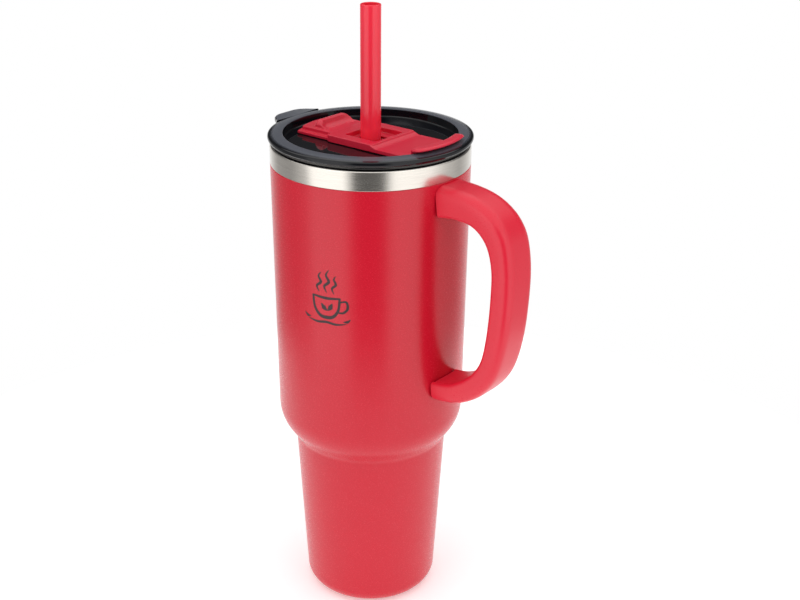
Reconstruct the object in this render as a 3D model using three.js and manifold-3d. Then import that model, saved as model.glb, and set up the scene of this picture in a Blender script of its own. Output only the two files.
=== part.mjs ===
// Insulated travel mug with a press-in lid, a sliding closure, a straw and a bolted loop handle.
// Millimetres, +Z up. The origin is the centre of the base, the handle points along +X, and the
// closure slides along X.
import * as THREE from 'three';
import { mergeVertices } from 'three/addons/utils/BufferGeometryUtils.js';
import Module from 'manifold-3d';

const wasm = await Module();
wasm.setup();

const GAP = 0.3; // between pieces that touch
const AROUND = 48; // facets round a full turn
const LID_FACETS = 54; // a little finer than the body, because the lid's ring is looked at closely
const FINE = 3; // steps in each rounded corner

// Vacuum body: two cones joined by a shoulder, so that the lower one fits a cup holder.
const LOWER_R = 34.87; // radius of the lower cone at z = 0
const LOWER_SLOPE = 0.0569;
const UPPER_R = 47.45; // radius of the upper cone at z = 0
const UPPER_SLOPE = 0.01054;
const SHOULDER_Z = 111.25; // where the shoulder's arc leaves the upper cone
const SHOULDER_ARC = 21.7;
const CREASE_Z = 94.1;
const CREASE_BLEND = 1.1;
const BASE_FILLET = 8.8;
const SHELL_WALL = 1.2;
const VACUUM_GAP = 2.5;
const LINER_WALL = 1;
const LINER_END_Z = 14;
const BASE_OPENING_R = 24;
const BOTTOM_R = 26.2; // outer edge of the disc that closes the vacuum
const BOTTOM_WALL = 1;
const DIMPLE = { inner: 6, outer: 8, rise: 2.1 }; // raised middle of that disc, round the pump-out hole
const PUMP_HOLE_R = 1.2;
const PLUG_STEM_R = 0.9;
const PLUG_HEAD_R = 3.2;
const GETTER = { x: 15, radius: 4.5, low: 2.8, high: 4.6 };
const LINER_FLOOR_Z = 6;
const PAINT_TOP = 242.3;
const RIM_R = 50;
const RIM_TOP = 252.3;
const RIM_SKIRT = 1.1; // thickness of the bare rim where it folds down over the shell
const MOUTH_R = 47;
const NECK_LOW = 228;
const NECK_HIGH = 236;

// Lid
const LID_TOP = 257.46;
const LID_R = 51;
const RING_FALL = 0.8; // how far the ring's top slopes down to its outer edge
const LID_SEAT = RIM_TOP + GAP;
const WELL_R = 43.45;
const FLOOR_TOP = 252.9;
const FLOOR_LOW = 251.2;
const PLUG_R = MOUTH_R - 0.7;
const PLUG_WALL = 1.7;
const PLUG_LOW = 238;
const GROOVE_LOW = 240.2;
const GROOVE_TOP = 244.2;
const GROOVE_R = PLUG_R - 1.1;
const TAB_REACH = 57.7;
const STRAW_HOLE_R = 8;

// Straw
const STRAW_R = 5.1;
const STRAW_WALL = 1;
const STRAW_LOW = 12;
const STRAW_TOP = 319.7;

// Closure: a plate in the lid's well with a window round the straw, a finger ridge and a raised lip.
const TRAVEL = 5;
const SLIDER_LOW = FLOOR_TOP + GAP;
const FRAME_TOP = 256.7;
const FRAME_X = 14.5;
const FRAME_Y = 17;
const WINDOW = { back: -7.6, front: 12.1, side: 10.8 };
const FRONT_TOP = 255;
const REAR_TOP = 256.6;
const REAR_HALF = 13;
const FLANGE_TOP = 254.5;
const FLANGE_HALF = 15.5;
const FLANGE_R = WELL_R - TRAVEL - GAP;
const WINDOW_FLOOR = 0.8; // thickness of the plate across the window, slotted for the straw
const LIP_TOP = 260.5;
const LIP_R = 48.5;
const LIP_HALF = 19.5;
const RIDGE_X = -25.5;
const RIDGE_HALF = 11;
const CLIP_Y = 13.5;
const CLIP_HALF_LENGTH = 4;
const CLIP_WALL = 1.8;
const SIP = { inner: 38.6, outer: 42.2, angle: 0.155 };

// Handle: outlines in the XZ plane.
const HANDLE_WIDTH = 22;
const HANDLE_ROUND = 2.6;
const HANDLE_WALL = 2.4;
const CHANNEL_WIDTH = 17.4;
const STRIP_THICK = 2;
const OUTER_LINE = {
  points: [
    [46, 241.7], [60.6, 240.7], [71, 238.6], [79.5, 234.4], [86, 228.5], [90.3, 220], [92.5, 205],
    [92.2, 187], [90, 167.5], [85, 150], [76.5, 138.3], [66.5, 131.4], [57.7, 128.7], [46, 127.7],
  ],
  material: 1, // side of the line that the handle lies on, +1 for the right
};
const INNER_LINE = {
  points: [
    [46, 225.2], [58, 227.2], [69.8, 226], [77.8, 219.3], [81.5, 208], [81.8, 194], [80.6, 176],
    [77.9, 160], [73, 151], [66, 144.5], [57, 139.6], [46, 137.8],
  ],
  material: -1,
};
const RIB = 1.6;
const SCREW_X = 54.5;
const BRACKET_END = 59; // x where the brackets end, inside the arms
const SCREW_R = 1.5;
const HEAD_R = 3.1;
// Heights of each fixing's bracket and of its screw's head; the arm's drilled web lies between them.
const UPPER_FIX = { bracket: [232.8, 238], head: [229.6, 230.9] };
const LOWER_FIX = { bracket: [131.2, 133.2], head: [135, 136.2] };

const RED = { color: 0xc8323f, roughness: 0.55, metalness: 0 };
const BRIGHT_RED = { color: 0xd32a3a, roughness: 0.4, metalness: 0 };
const BLACK = { color: 0x15161a, roughness: 0.12, metalness: 0 };
const STEEL = { color: 0xc9c6bf, roughness: 0.3, metalness: 1 };
const SILICONE = { color: 0xdedcd6, roughness: 0.7, metalness: 0 };

// ---- Solids ----

function toSolid(geometry) {
  const bare = geometry.clone();
  bare.deleteAttribute('normal');
  bare.deleteAttribute('uv');
  const merged = mergeVertices(bare, 1e-4);
  const vertProperties = merged.attributes.position.array;
  const triVerts = new Uint32Array(merged.index.array);
  return new wasm.Manifold(new wasm.Mesh({ numProp: 3, vertProperties, triVerts }));
}

function toGeometry(solid) {
  const { vertProperties, triVerts } = solid.getMesh();
  const geometry = new THREE.BufferGeometry();
  geometry.setAttribute('position', new THREE.BufferAttribute(vertProperties, 3));
  geometry.setIndex(new THREE.BufferAttribute(triVerts, 1));
  geometry.computeVertexNormals();
  return geometry;
}

// A closed outline through corners [x, y, cut], where cut is how far from the corner its rounding starts.
function outline(corners) {
  const shape = new THREE.Shape();
  const at = ([x, y]) => new THREE.Vector2(x, y);
  corners.forEach((corner, i) => {
    const here = at(corner);
    const cut = corner[2] ?? 0;
    const before = at(corners.at(i - 1)).sub(here).setLength(cut).add(here);
    const after = at(corners[(i + 1) % corners.length]).sub(here).setLength(cut).add(here);
    if (i) shape.lineTo(before.x, before.y);
    else shape.moveTo(before.x, before.y);
    if (cut) shape.quadraticCurveTo(here.x, here.y, after.x, after.y);
  });
  shape.closePath();
  return shape;
}

// A closed profile of [radius, height] points turned about Z.
function turn(points, facets = AROUND) {
  const loop = points.map(([r, z]) => new THREE.Vector2(r, z));
  if (THREE.ShapeUtils.area(loop) < 0) loop.reverse();
  loop.push(loop[0].clone());
  return toSolid(new THREE.LatheGeometry(loop, facets).rotateX(Math.PI / 2));
}

// The same for corners with roundings.
function turnOutline(corners, facets = AROUND) {
  const points = outline(corners).getPoints(FINE);
  points.pop();
  return turn(points.map((p) => [p.x, p.y]), facets);
}

// A flat shape in XY raised from one height to another.
function plate(shape, low, high) {
  const settings = { depth: high - low, bevelEnabled: false, curveSegments: 8 };
  return toSolid(new THREE.ExtrudeGeometry(shape, settings).translate(0, 0, low));
}

// A shape drawn in XZ and extruded along Y, centred on y = 0, with its edges rounded.
function sidePlate(shape, width, round = 0) {
  const settings = {
    depth: width - 2 * round,
    bevelEnabled: round > 0,
    bevelThickness: round,
    bevelSize: round,
    bevelOffset: -round,
    bevelSegments: 2,
    curveSegments: FINE,
  };
  const geometry = new THREE.ExtrudeGeometry(shape, settings).rotateX(Math.PI / 2);
  return toSolid(geometry.translate(0, width / 2 - round, 0));
}

function box(x, y, z) {
  const geometry = new THREE.BoxGeometry(x[1] - x[0], y[1] - y[0], z[1] - z[0]);
  return toSolid(geometry.translate((x[0] + x[1]) / 2, (y[0] + y[1]) / 2, (z[0] + z[1]) / 2));
}

function post(x, radius, low, high, facets = 16) {
  const geometry = new THREE.CylinderGeometry(radius, radius, high - low, facets);
  return toSolid(geometry.rotateX(Math.PI / 2).translate(x, 0, (low + high) / 2));
}

// ---- Vacuum body ----

// Radius of the body's outer face at height z, moved inwards by inset.
function bodyRadius(z, inset = 0) {
  const lower = LOWER_R + LOWER_SLOPE * z - inset;
  const upper = UPPER_R + UPPER_SLOPE * z - inset;
  if (z >= SHOULDER_Z) return upper;
  const centre = UPPER_R + UPPER_SLOPE * SHOULDER_Z - SHOULDER_ARC;
  const arc = SHOULDER_ARC - inset;
  const drop = Math.min(SHOULDER_Z - z, arc);
  const shoulder = centre + Math.sqrt(arc * arc - drop * drop);
  return (lower + shoulder + Math.hypot(lower - shoulder, CREASE_BLEND)) / 2;
}

// The wall's face from one height to another, as [radius, height] points.
function bodyFace(low, high, inset) {
  const reach = Math.asin((SHOULDER_Z - CREASE_Z) / SHOULDER_ARC);
  const levels = [low, CREASE_Z - 7, CREASE_Z - 2.5];
  for (let i = 6; i >= 0; i--) levels.push(SHOULDER_Z - SHOULDER_ARC * Math.sin((reach * i) / 6));
  levels.push(high);
  return levels.map((z) => [bodyRadius(z, inset), z]);
}

// The quarter turn from the standing face up into the lower cone.
function baseFillet(inset) {
  const centre = bodyRadius(BASE_FILLET) - BASE_FILLET;
  const radius = BASE_FILLET - inset;
  return [0, 1, 2, 3, 4].map((i) => {
    const angle = (i * Math.PI) / 8;
    return [centre + radius * Math.sin(angle), BASE_FILLET - radius * Math.cos(angle)];
  });
}

function outerShell() {
  const outside = [...baseFillet(0).slice(0, 4), ...bodyFace(BASE_FILLET, PAINT_TOP, 0)];
  const inside = [
    ...baseFillet(SHELL_WALL).slice(0, 4),
    ...bodyFace(BASE_FILLET, PAINT_TOP, SHELL_WALL),
  ];
  return turn([
    [BASE_OPENING_R, 0], ...outside,
    ...inside.reverse(), [BASE_OPENING_R, SHELL_WALL],
  ]);
}

function innerLiner() {
  const outerInset = SHELL_WALL + VACUUM_GAP;
  const outside = bodyFace(LINER_END_Z, NECK_LOW, outerInset);
  const inside = bodyFace(LINER_END_Z, NECK_LOW, outerInset + LINER_WALL);
  const wallR = MOUTH_R + LINER_WALL;
  const foldR = RIM_R - RIM_SKIRT;
  const foldLow = PAINT_TOP + GAP;
  return turn([
    ...outside,
    [wallR, NECK_HIGH], [wallR, RIM_TOP - 2.5],
    [foldR, RIM_TOP - 2.5], [foldR, foldLow],
    [RIM_R, foldLow], [RIM_R, RIM_TOP - 1.5], [RIM_R - 0.35, RIM_TOP - 0.5], [RIM_R - 1.15, RIM_TOP],
    [MOUTH_R + 0.4, RIM_TOP], [MOUTH_R, RIM_TOP - 0.5], [MOUTH_R, NECK_HIGH],
    ...inside.reverse(),
  ]);
}

function linerBottom() {
  const high = LINER_END_Z - GAP;
  const low = LINER_FLOOR_Z;
  const radius = bodyRadius(high, SHELL_WALL + VACUUM_GAP);
  return turnOutline([
    [0, low], [radius, low, 5], [radius, high], [radius - LINER_WALL, high],
    [radius - LINER_WALL, low + LINER_WALL, 4.5], [0, low + LINER_WALL],
  ]);
}

// The disc under the vacuum, with a raised middle that holds the sealed pump-out hole.
function outerBottom() {
  const low = SHELL_WALL + GAP;
  const raised = low + DIMPLE.rise;
  return turn([
    [PUMP_HOLE_R, raised], [DIMPLE.inner, raised], [DIMPLE.outer, low], [BOTTOM_R, low],
    [BOTTOM_R, low + BOTTOM_WALL], [DIMPLE.outer + 0.6, low + BOTTOM_WALL],
    [DIMPLE.inner + 0.6, raised + BOTTOM_WALL], [PUMP_HOLE_R, raised + BOTTOM_WALL],
  ], 32);
}

// The bead that seals the pump-out hole: a head below the disc and a stem through it.
function vacuumSeal() {
  const headTop = SHELL_WALL + DIMPLE.rise;
  const headLow = headTop - 1;
  const stemTop = headTop + 1.9;
  return turn([
    [0, headLow], [PLUG_HEAD_R - 0.6, headLow], [PLUG_HEAD_R, headLow + 0.5], [PLUG_HEAD_R, headTop],
    [PLUG_STEM_R, headTop], [PLUG_STEM_R, stemTop], [0, stemTop],
  ], 12);
}

function baseCap() {
  return turnOutline([
    [0, 0], [BASE_OPENING_R - GAP, 0, 0.4], [BASE_OPENING_R - GAP, SHELL_WALL], [0, SHELL_WALL],
  ]);
}

// ---- Lid ----

function sectorShape(inner, outer, angle) {
  const shape = new THREE.Shape();
  shape.absarc(0, 0, outer, -angle, angle, false);
  shape.absarc(0, 0, inner, angle, -angle, true);
  shape.closePath();
  return shape;
}

function liftTab() {
  return plate(outline([
    [-46, -16], [-50.5, -14.5, 2.5], [-TAB_REACH, -9.5, 5],
    [-TAB_REACH, 9.5, 5], [-50.5, 14.5, 2.5], [-46, 16],
  ]), LID_TOP - 3.4, LID_TOP - 0.3);
}

function lidBody() {
  const innerPlug = PLUG_R - PLUG_WALL;
  const bowl = turnOutline([
    [STRAW_HOLE_R, FLOOR_LOW], [innerPlug, FLOOR_LOW], [innerPlug, PLUG_LOW], [PLUG_R, PLUG_LOW],
    [PLUG_R, GROOVE_LOW], [GROOVE_R, GROOVE_LOW], [GROOVE_R, GROOVE_TOP], [PLUG_R, GROOVE_TOP],
    [PLUG_R, LID_SEAT], [RIM_R - 1.1, LID_SEAT], [LID_R, LID_TOP - 2.4, 0.9],
    [LID_R, LID_TOP - RING_FALL, 1.2], [WELL_R + 2.4, LID_TOP, 2], [WELL_R, LID_TOP, 0.4],
    [WELL_R, FLOOR_TOP, 0.8], [STRAW_HOLE_R, FLOOR_TOP],
  ], LID_FACETS);
  const cutLow = FLOOR_LOW - 1;
  const cutHigh = FLOOR_TOP + 1;
  const slot = [-CLIP_HALF_LENGTH - TRAVEL - GAP, CLIP_HALF_LENGTH + GAP];
  const near = CLIP_Y - CLIP_WALL / 2 - GAP;
  const far = CLIP_Y + CLIP_WALL / 2 + GAP;
  return bowl
    .add(liftTab())
    .subtract(box(slot, [near, far], [cutLow, cutHigh]))
    .subtract(box(slot, [-far, -near], [cutLow, cutHigh]))
    .subtract(plate(sectorShape(SIP.inner, SIP.outer, SIP.angle), cutLow, cutHigh))
    .subtract(post(-30, 1.5, cutLow, cutHigh, 12));
}

function lidGasket() {
  const low = GROOVE_LOW + GAP;
  const high = GROOVE_TOP - GAP;
  const middle = (low + high) / 2;
  const back = GROOVE_R + GAP;
  const face = MOUTH_R - GAP;
  return turn([
    [back, low], [PLUG_R - 0.1, low], [face, low + 0.8], [PLUG_R, middle], [face, high - 0.8],
    [PLUG_R - 0.1, high], [back, high],
  ]);
}

function strawGrommet() {
  const bore = STRAW_R + GAP;
  const collar = STRAW_HOLE_R - GAP;
  const flangeTop = FLOOR_LOW - GAP;
  return turn([
    [bore, flangeTop - 1.1], [collar + 1.8, flangeTop - 1.1], [collar + 1.8, flangeTop],
    [collar, flangeTop], [collar, FLOOR_TOP], [bore, FLOOR_TOP],
  ], 24);
}

// ---- Closure and straw ----

// A plate with straight sides and one end rounded to fit the round well; end is the arc's radius.
function roundedEnd(end, half, root, side) {
  const shape = new THREE.Shape();
  const angle = Math.asin(half / end);
  shape.moveTo(side * root, half);
  if (side > 0) shape.absarc(0, 0, end, angle, -angle, true);
  else shape.absarc(0, 0, end, Math.PI - angle, Math.PI + angle, false);
  shape.lineTo(side * root, -half);
  shape.closePath();
  return shape;
}

function raisedLip() {
  const low = SLIDER_LOW;
  const face = WELL_R - GAP - 0.1;
  const ring = turnOutline([
    [face - 2, low], [face, low], [face, LID_TOP + 0.2, 0.6], [LIP_R - 1.6, LID_TOP + 0.9, 0.8],
    [LIP_R, LIP_TOP - 1, 0.6], [LIP_R - 1, LIP_TOP, 0.5], [face - 0.6, LIP_TOP, 1], [face - 2, LID_TOP],
  ]);
  return ring.intersect(box([20, LIP_R + 1], [-LIP_HALF, LIP_HALF], [low - 1, LIP_TOP + 1]));
}

function fingerRidge() {
  const low = REAR_TOP - 0.5;
  const side = outline([
    [RIDGE_X + 4.6, low], [RIDGE_X + 4.2, low + 0.7], [RIDGE_X + 1.9, low + 1.7, 1],
    [RIDGE_X + 1.1, LIP_TOP, 1.1], [RIDGE_X - 1.5, LIP_TOP - 0.2, 0.8], [RIDGE_X - 1.3, low],
  ]);
  return sidePlate(side, 2 * RIDGE_HALF);
}

function clip(side) {
  const near = CLIP_Y - CLIP_WALL / 2;
  const far = CLIP_Y + CLIP_WALL / 2;
  const hookTop = FLOOR_LOW - GAP;
  const span = (a, b) => [Math.min(side * a, side * b), Math.max(side * a, side * b)];
  const length = [-CLIP_HALF_LENGTH, CLIP_HALF_LENGTH];
  const stem = box(length, span(near, far), [hookTop - 1.2, SLIDER_LOW + 0.5]);
  return stem.add(box(length, span(near, far + 1.2), [hookTop - 1.2, hookTop]));
}

// The slot that lets the closure slide by its travel past the straw.
function strawSlot(radius) {
  const shape = new THREE.Shape();
  shape.absarc(0, 0, radius, Math.PI / 2, -Math.PI / 2, false);
  shape.absarc(TRAVEL, 0, radius, -Math.PI / 2, Math.PI / 2, false);
  shape.closePath();
  return shape;
}

function closureSlider() {
  const frame = plate(outline([
    [-FRAME_X, -FRAME_Y, 2], [FRAME_X, -FRAME_Y, 2], [FRAME_X, FRAME_Y, 2], [-FRAME_X, FRAME_Y, 2],
  ]), SLIDER_LOW, FRAME_TOP);
  const window = plate(outline([
    [WINDOW.back, -WINDOW.side, 1.5], [WINDOW.front, -WINDOW.side, 1.5],
    [WINDOW.front, WINDOW.side, 1.5], [WINDOW.back, WINDOW.side, 1.5],
  ]), SLIDER_LOW + WINDOW_FLOOR, FRAME_TOP + 1);
  const slot = plate(strawSlot(STRAW_R + 0.5), SLIDER_LOW - 1, FRAME_TOP);
  const front = plate(roundedEnd(WELL_R - 1.4, FRAME_Y, FRAME_X - 1, 1), SLIDER_LOW, FRONT_TOP);
  const flange = plate(roundedEnd(FLANGE_R, FLANGE_HALF, FRAME_X - 1, -1), SLIDER_LOW, FLANGE_TOP);
  const rear = plate(roundedEnd(FLANGE_R - 2, REAR_HALF, FRAME_X - 1, -1), SLIDER_LOW, REAR_TOP);
  const sealPocket = plate(
    sectorShape(SIP.inner - 1.5, SIP.outer + 0.5, SIP.angle + 0.06), SLIDER_LOW - 1, SLIDER_LOW + 1,
  );
  return frame.add(front).add(flange).add(rear).add(raisedLip()).add(fingerRidge())
    .add(clip(1)).add(clip(-1)).subtract(window).subtract(slot).subtract(sealPocket);
}

function sipSeal() {
  const shape = sectorShape(SIP.inner - 1.2, SIP.outer + 0.2, SIP.angle + 0.05);
  return plate(shape, SLIDER_LOW, SLIDER_LOW + 1 - GAP);
}

function straw() {
  const inner = STRAW_R - STRAW_WALL;
  return turnOutline([
    [inner, STRAW_LOW, 0.4], [STRAW_R, STRAW_LOW, 0.4], [STRAW_R, STRAW_TOP, 0.4],
    [inner, STRAW_TOP, 0.4],
  ], 24);
}

// ---- Handle ----

// Points along one of the handle's lines, moved into the handle by depth.
function beside({ points, material }, depth, steps) {
  const curve = new THREE.SplineCurve(points.map(([x, z]) => new THREE.Vector2(x, z)));
  return Array.from({ length: steps + 1 }, (_, i) => {
    const along = curve.getTangent(i / steps);
    const inwards = new THREE.Vector2(along.y, -along.x).multiplyScalar(material * depth);
    return curve.getPoint(i / steps).add(inwards);
  });
}

// The closed area between the inner line, moved in by nearDepth, and a far line moved in by farDepth.
function between(nearDepth, farLine, farDepth) {
  const near = beside(INNER_LINE, nearDepth, 28);
  return new THREE.Shape([...beside(farLine, farDepth, 32), ...near.reverse()]);
}

function bodyCutter() {
  const face = bodyFace(SHOULDER_Z, RIM_TOP, -GAP).slice(-2);
  return turn([[0, SHOULDER_Z], ...face, [0, RIM_TOP]]);
}

// Where one screw holds: pockets for the bracket and the screw's head, with a drilled web between.
function fixingPocket({ bracket, head }) {
  const y = [-CHANNEL_WIDTH / 2, CHANNEL_WIDTH / 2];
  const pocket = box([44, BRACKET_END + 1], y, [bracket[0] - GAP, bracket[1] + GAP]);
  const well = post(SCREW_X, HEAD_R + GAP, head[0] - 2, head[1] + GAP);
  const wellLow = post(SCREW_X, HEAD_R + GAP, head[0] - GAP, head[1] + 2);
  const bore = post(SCREW_X, SCREW_R + GAP, Math.min(head[0], bracket[0]), Math.max(head[1], bracket[1]));
  return pocket.add(bracket[0] > head[0] ? well : wellLow).add(bore);
}

function handleBody() {
  const strip = sidePlate(between(-1.5, INNER_LINE, STRIP_THICK + GAP), CHANNEL_WIDTH);
  const y = [-CHANNEL_WIDTH, CHANNEL_WIDTH];
  let pockets = sidePlate(between(STRIP_THICK, OUTER_LINE, HANDLE_WALL), CHANNEL_WIDTH);
  for (const z of [152, 171, 190, 209]) {
    pockets = pockets.subtract(box([60, 100], y, [z - RIB / 2, z + RIB / 2]));
  }
  pockets = pockets.subtract(box([40, 66], y, [SHOULDER_Z, RIM_TOP]));
  return sidePlate(between(0, OUTER_LINE, 0), HANDLE_WIDTH, HANDLE_ROUND)
    .subtract(bodyCutter())
    .subtract(strip)
    .subtract(pockets)
    .subtract(fixingPocket(UPPER_FIX))
    .subtract(fixingPocket(LOWER_FIX));
}

function handleInsert() {
  const shape = between(0, INNER_LINE, STRIP_THICK);
  return sidePlate(shape, CHANNEL_WIDTH - 2 * GAP).subtract(bodyCutter());
}

// A steel lug welded to the shell, drilled for the screw.
function bracket({ bracket: [low, high] }) {
  return box([44, BRACKET_END], [-CHANNEL_WIDTH / 2 + GAP, CHANNEL_WIDTH / 2 - GAP], [low, high])
    .subtract(bodyCutter())
    .subtract(post(SCREW_X, SCREW_R + GAP, low - 1, high + 1));
}

function screw({ bracket, head }) {
  const up = bracket[0] > head[0];
  const shank = up ? [head[0], bracket[1] - 1] : [bracket[0] + 0.4, head[1]];
  const socketLevel = up ? [head[0] - 1, head[0] + 0.7] : [head[1] - 0.7, head[1] + 1];
  return post(SCREW_X, HEAD_R, ...head)
    .add(post(SCREW_X, SCREW_R, ...shank))
    .subtract(post(SCREW_X, 1.2, ...socketLevel, 6));
}

// ---- Assembly ----

function piece(name, solid, look) {
  const mesh = new THREE.Mesh(toGeometry(solid), new THREE.MeshStandardMaterial(look));
  mesh.name = name;
  return mesh;
}

function group(name, ...children) {
  const made = new THREE.Group();
  made.name = name;
  return made.add(...children);
}

const vacuumBody = group(
  'vacuum_body',
  piece('outer_shell', outerShell(), RED),
  piece('inner_liner', innerLiner(), STEEL),
  piece('liner_bottom', linerBottom(), STEEL),
  piece('outer_bottom', outerBottom(), STEEL),
  piece('vacuum_seal', vacuumSeal(), STEEL),
  piece('getter', post(GETTER.x, GETTER.radius, GETTER.low, GETTER.high), STEEL),
  piece('base_cap', baseCap(), RED),
);

const handle = group(
  'handle',
  piece('handle_body', handleBody(), BRIGHT_RED),
  piece('handle_insert', handleInsert(), BRIGHT_RED),
  piece('bracket_upper', bracket(UPPER_FIX), STEEL),
  piece('bracket_lower', bracket(LOWER_FIX), STEEL),
  piece('screw_upper', screw(UPPER_FIX), STEEL),
  piece('screw_lower', screw(LOWER_FIX), STEEL),
);

const lid = group(
  'lid',
  piece('lid_body', lidBody(), BLACK),
  piece('lid_gasket', lidGasket(), SILICONE),
  piece('straw_grommet', strawGrommet(), SILICONE),
  group('closure', piece('closure_slider', closureSlider(), BRIGHT_RED), piece('sip_seal', sipSeal(), SILICONE)),
  piece('straw', straw(), BRIGHT_RED),
);

export default group('insulated_travel_mug', vacuumBody, handle, lid);
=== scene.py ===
"""Insulated travel mug: detailed meshes, materials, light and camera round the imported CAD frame."""
from math import asin, cos, hypot, pi, radians, sin, sqrt, tau

import bmesh
import bpy
from mathutils import Matrix, Vector


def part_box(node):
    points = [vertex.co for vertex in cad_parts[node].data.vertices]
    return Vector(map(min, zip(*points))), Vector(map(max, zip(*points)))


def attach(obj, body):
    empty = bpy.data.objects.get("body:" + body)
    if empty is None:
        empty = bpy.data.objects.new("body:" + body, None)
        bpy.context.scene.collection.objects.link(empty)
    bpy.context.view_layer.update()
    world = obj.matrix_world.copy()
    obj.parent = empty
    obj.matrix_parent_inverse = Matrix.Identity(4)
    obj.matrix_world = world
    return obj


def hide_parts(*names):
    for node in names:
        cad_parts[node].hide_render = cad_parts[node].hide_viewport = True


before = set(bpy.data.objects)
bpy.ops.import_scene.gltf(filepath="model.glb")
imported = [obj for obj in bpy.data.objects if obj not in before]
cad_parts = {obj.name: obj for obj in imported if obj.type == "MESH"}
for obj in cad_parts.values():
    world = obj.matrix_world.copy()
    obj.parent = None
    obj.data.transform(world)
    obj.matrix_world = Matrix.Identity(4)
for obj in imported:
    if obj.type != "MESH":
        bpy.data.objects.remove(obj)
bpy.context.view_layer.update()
MM = 0.001
GAP = 0.0003  # left between pieces that touch, as in the CAD

# ---- Driving sizes, in metres, from the frame ----

LINER_LOW, LINER_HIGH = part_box("inner_liner")
LID_LOW, LID_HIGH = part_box("lid_body")
SLIDER_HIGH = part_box("closure_slider")[1]
STRAW_LOW, STRAW_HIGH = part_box("straw")
HANDLE_LOW, HANDLE_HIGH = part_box("handle_body")
INSERT_LOW, INSERT_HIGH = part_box("handle_insert")
CAP_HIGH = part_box("base_cap")[1]
GASKET_LOW, GASKET_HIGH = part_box("lid_gasket")
GROMMET_LOW, GROMMET_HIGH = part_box("straw_grommet")

PAINT_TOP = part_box("outer_shell")[1].z
RIM_TOP = LINER_HIGH.z
RIM_R = LINER_HIGH.y
LID_TOP = LID_HIGH.z
LID_R = LID_HIGH.y
TAB_REACH = -LID_LOW.x
FLOOR_TOP = GROMMET_HIGH.z
# The closure plate's underside, just over the lid's floor. The node's box goes lower, to the clips.
SLIDER_FLOOR = FLOOR_TOP + GAP

# Vacuum body: two cones joined by a shoulder. The crease under it is blended wider than in the CAD.
LOWER_R = 34.87 * MM
LOWER_SLOPE = 0.0569
UPPER_R = 47.45 * MM
UPPER_SLOPE = 0.01054
SHOULDER_Z = 111.25 * MM
SHOULDER_ARC = 21.7 * MM
CREASE_Z = 94.1 * MM
CREASE_BLEND = 4.4 * MM
BASE_FILLET = 8.8 * MM
WALL = 1.2 * MM
LINER_INSET = 3.7 * MM
LINER_WALL = 1.0 * MM
MOUTH_R = 47.0 * MM
AROUND = 192  # facets round the large turned pieces
ON_AXIS = 1e-7

# ---- Mesh helpers ----


def linked(name, data):
    """A new object in the scene."""
    made = bpy.data.objects.new(name, data)
    bpy.context.scene.collection.objects.link(made)
    return made


def make_object(name, mesh, material, sharp=35):
    """An object from a finished mesh, smooth but for edges sharper than the given angle in degrees."""
    mesh.polygons.foreach_set("use_smooth", [True] * len(mesh.polygons))
    mesh.set_sharp_from_angle(angle=radians(sharp))
    mesh.materials.append(material)
    return linked(name, mesh)


def mesh_from(name, vertices, faces):
    """A mesh whose faces all point out of it."""
    mesh = bpy.data.meshes.new(name)
    mesh.from_pydata(vertices, [], faces)
    shape = bmesh.new()
    shape.from_mesh(mesh)
    bmesh.ops.recalc_face_normals(shape, faces=shape.faces)
    if shape.calc_volume(signed=True) < 0:
        bmesh.ops.reverse_faces(shape, faces=shape.faces)
    shape.to_mesh(mesh)
    shape.free()
    mesh.update()
    return mesh


def rounded(corners, steps=5):
    """A closed outline through (x, y, cut) corners; cut is how far from the corner its rounding starts."""
    points = []
    for i, corner in enumerate(corners):
        here = Vector(corner[:2])
        cut = corner[2] if len(corner) > 2 else 0
        if not cut:
            points.append(here)
            continue
        before = here + (Vector(corners[i - 1][:2]) - here).normalized() * cut
        after = here + (Vector(corners[(i + 1) % len(corners)][:2]) - here).normalized() * cut
        for k in range(steps + 1):
            t = k / steps
            points.append(before * (1 - t) ** 2 + here * 2 * t * (1 - t) + after * t * t)
    return points


def lathe(name, outline, material, facets=AROUND, sharp=35):
    """A closed (radius, height) outline turned about Z; points at radius 0 close on the axis."""
    vertices, faces, rings = [], [], []
    for r, z in outline:
        if r < ON_AXIS:
            rings.append([len(vertices)] * facets)
            vertices.append((0, 0, z))
            continue
        rings.append(list(range(len(vertices), len(vertices) + facets)))
        vertices += [(r * cos(tau * k / facets), r * sin(tau * k / facets), z) for k in range(facets)]
    for low, high in zip(rings, rings[1:] + rings[:1]):
        for k in range(facets):
            n = (k + 1) % facets
            corners = list(dict.fromkeys([low[k], low[n], high[n], high[k]]))
            if len(corners) > 2:
                faces.append(corners)
    return make_object(name, mesh_from(name, vertices, faces), material, sharp)


def swept(sections):
    """Vertices and faces of a closed solid through sections with the same number of points."""
    count, last = len(sections[0]), len(sections) - 1
    vertices = [point for section in sections for point in section]
    faces = []
    for s in range(last):
        low, high = s * count, (s + 1) * count
        for k in range(count):
            n = (k + 1) % count
            faces.append((low + k, low + n, high + n, high + k))
    faces += [tuple(range(count)), tuple(range(last * count, (last + 1) * count))]
    return vertices, faces


def loft(name, sections, material, sharp=35):
    """A piece through sections with the same number of points, capped at both ends."""
    return make_object(name, mesh_from(name, *swept(sections)), material, sharp)


def prism(outline, low, high):
    """Vertices and faces of a flat outline in XY raised from low to high."""
    return swept([[(x, y, z) for x, y in outline] for z in (low, high)])


def joined(parts):
    """One vertex and face list from several."""
    vertices, faces = [], []
    for part_vertices, part_faces in parts:
        start = len(vertices)
        vertices += part_vertices
        faces += [tuple(start + i for i in face) for face in part_faces]
    return vertices, faces


def apply_modifiers(piece):
    """Replaces the piece's mesh with what its modifiers make of it."""
    bpy.context.view_layer.update()
    evaluated = piece.evaluated_get(bpy.context.evaluated_depsgraph_get())
    mesh = bpy.data.meshes.new_from_object(evaluated)
    piece.modifiers.clear()
    piece.data = mesh


# ---- Materials ----


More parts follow.
